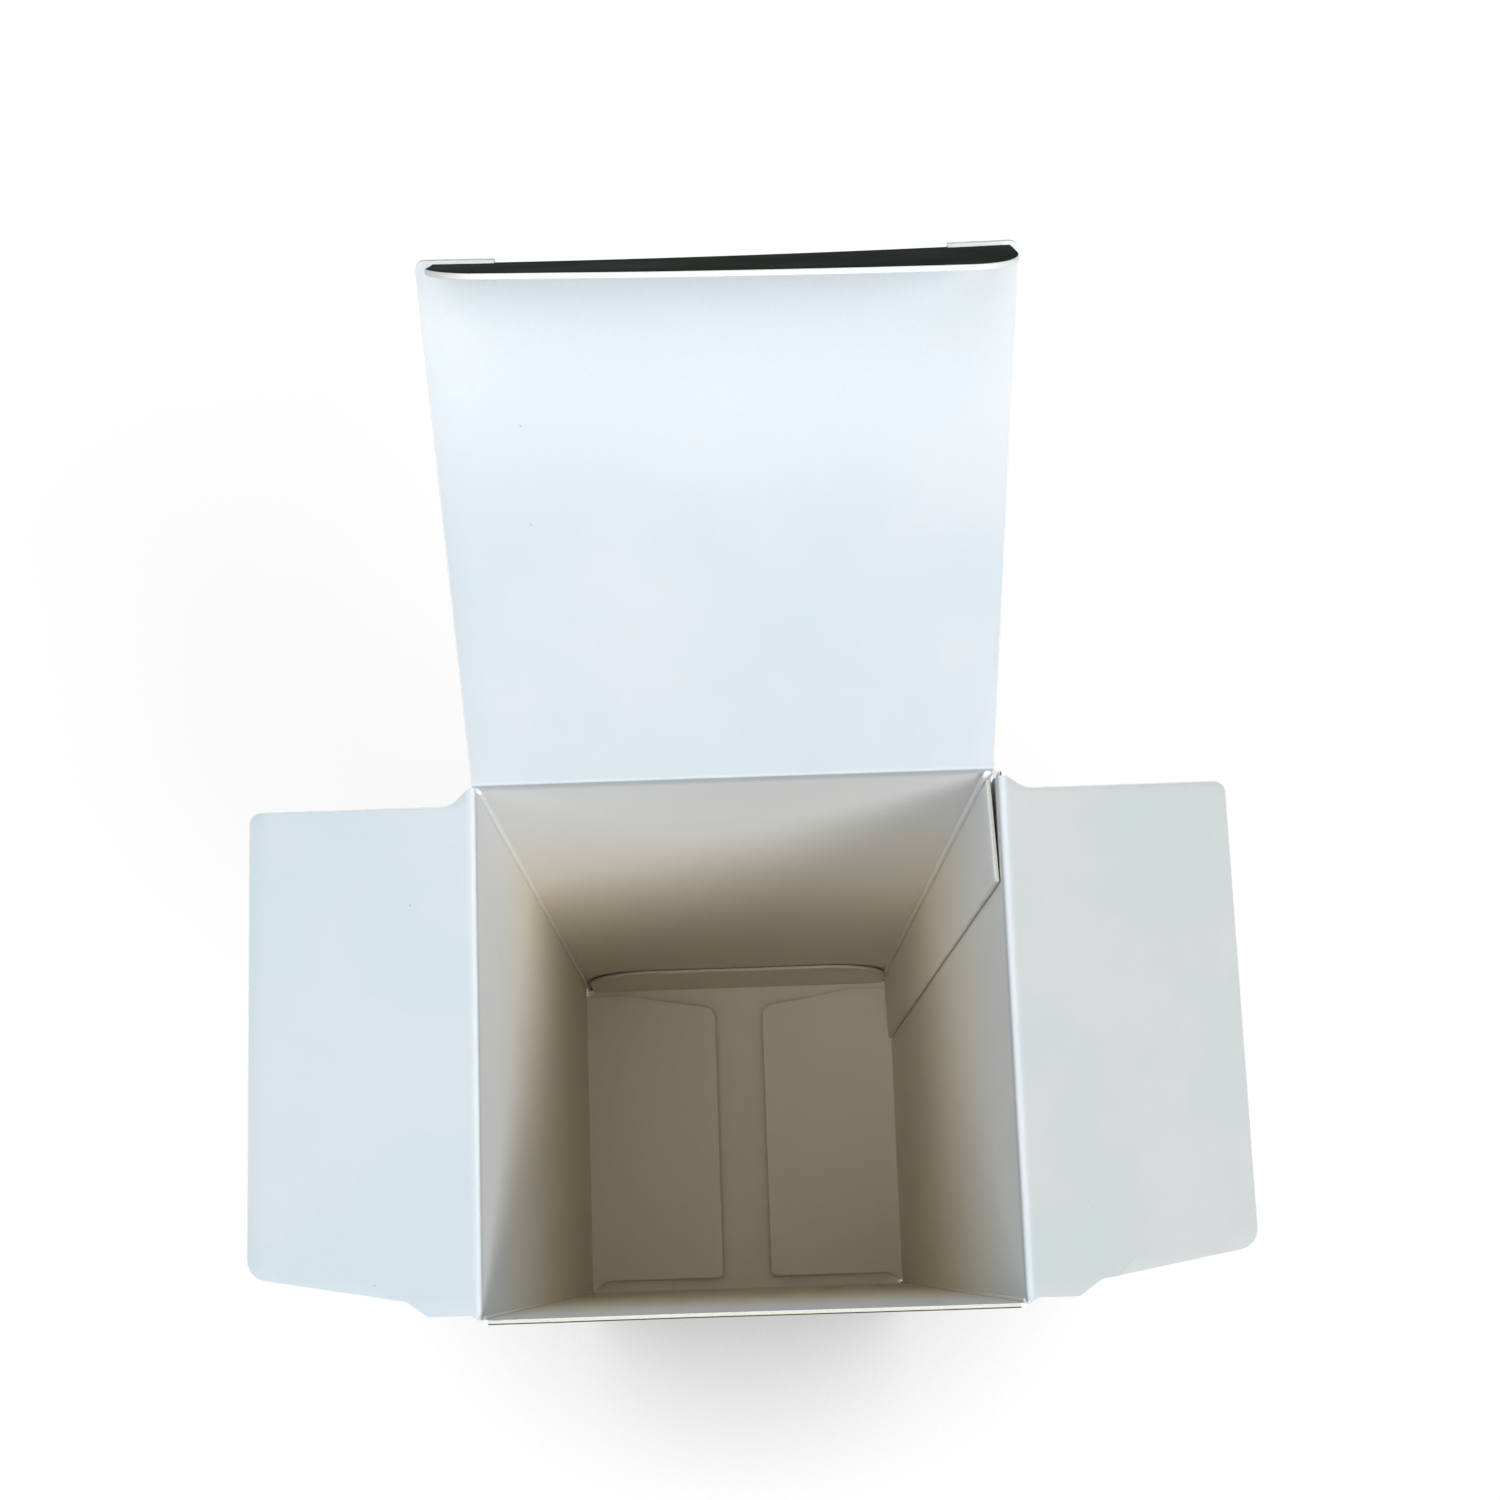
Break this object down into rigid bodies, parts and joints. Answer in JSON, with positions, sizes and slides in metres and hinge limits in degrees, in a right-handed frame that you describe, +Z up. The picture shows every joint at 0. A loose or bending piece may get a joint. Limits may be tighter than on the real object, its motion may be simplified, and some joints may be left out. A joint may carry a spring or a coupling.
{
  "type": "folding carton",
  "caption": "Upright square folding carton with a hinged tuck lid and dust flaps open, and a tucked bottom closure.",
  "frame": {"origin": "centre of the carton's base, on the underside of the bottom panel", "axes": "+X to the carton's right seen from the front, +Y to its back wall, where the lid hinges, +Z up"},
  "size_m": [0.0916, 0.0855, 0.199],
  "materials": {
    "white_board": "matt white coated paperboard, its outer face printed a very dark green",
    "scored_board": "scored paperboard, the fibres raised in a soft bead",
    "adhesive": "dried white glue"
  },
  "bodies": {
    "tube": {"front_wall": "white_board", "back_wall": "white_board", "left_wall": "white_board", "right_wall": "white_board", "front_left_crease": "scored_board", "front_right_crease": "scored_board", "back_left_crease": "scored_board", "glue_flap_crease": "scored_board", "glue_flap": "white_board", "glue_seam": "adhesive", "lid_crease": "scored_board", "left_dust_crease": "scored_board", "right_dust_crease": "scored_board", "bottom_crease": "scored_board", "bottom_left_dust_crease": "scored_board", "bottom_right_dust_crease": "scored_board"},
    "lid": {"lid_panel": "white_board", "lid_tuck_crease": "scored_board"},
    "lid_tuck": {"lid_tuck_flap": "white_board"},
    "left_dust": {"left_dust_flap": "white_board"},
    "right_dust": {"right_dust_flap": "white_board"},
    "bottom": {"bottom_panel": "white_board", "bottom_tuck_crease": "scored_board"},
    "bottom_tuck": {"bottom_tuck_flap": "white_board"},
    "bottom_left_dust": {"bottom_left_dust_flap": "white_board"},
    "bottom_right_dust": {"bottom_right_dust_flap": "white_board"}
  },
  "joints": [
    {"name": "lid_fold", "type": "hinge", "parent": "tube", "child": "lid", "pos_m": [0, 0.02477, 0.14977], "axis": [-1, 0, 0], "range_deg": [-136.4, 80]},
    {"name": "lid_tuck_fold", "type": "hinge", "parent": "lid", "child": "lid_tuck", "pos_m": [0, 0.05997, 0.18329], "axis": [-1, 0, 0], "range_deg": [-28.3, 16.6]},
    {"name": "left_dust_fold", "type": "hinge", "parent": "tube", "child": "left_dust", "pos_m": [-0.02477, 0, 0.14908], "axis": [0, -1, 0], "range_deg": [-180, 40]},
    {"name": "right_dust_fold", "type": "hinge", "parent": "tube", "child": "right_dust", "pos_m": [0.02477, 0, 0.14908], "axis": [0, 1, 0], "range_deg": [-180, 40]},
    {"name": "bottom_fold", "type": "hinge", "parent": "tube", "child": "bottom", "pos_m": [0, -0.02477, 0.00022], "axis": [-1, 0, 0], "range_deg": [0, 100]},
    {"name": "bottom_tuck_fold", "type": "hinge", "parent": "bottom", "child": "bottom_tuck", "pos_m": [0, 0.02382, 0.00022], "axis": [1, 0, 0], "range_deg": [0, 45]},
    {"name": "bottom_left_dust_fold", "type": "hinge", "parent": "tube", "child": "bottom_left_dust", "pos_m": [-0.02477, 0, 0.00093], "axis": [0, -1, 0], "range_deg": [0, 50]},
    {"name": "bottom_right_dust_fold", "type": "hinge", "parent": "tube", "child": "bottom_right_dust", "pos_m": [0.02477, 0, 0.00093], "axis": [0, 1, 0], "range_deg": [0, 50]}
  ],
  "couplings": [
    {"joint": "lid_tuck_fold", "follows": "lid_fold", "ratio": 0.207},
    {"joint": "bottom_tuck_fold", "follows": "bottom_fold", "ratio": 0.45}
  ]
}
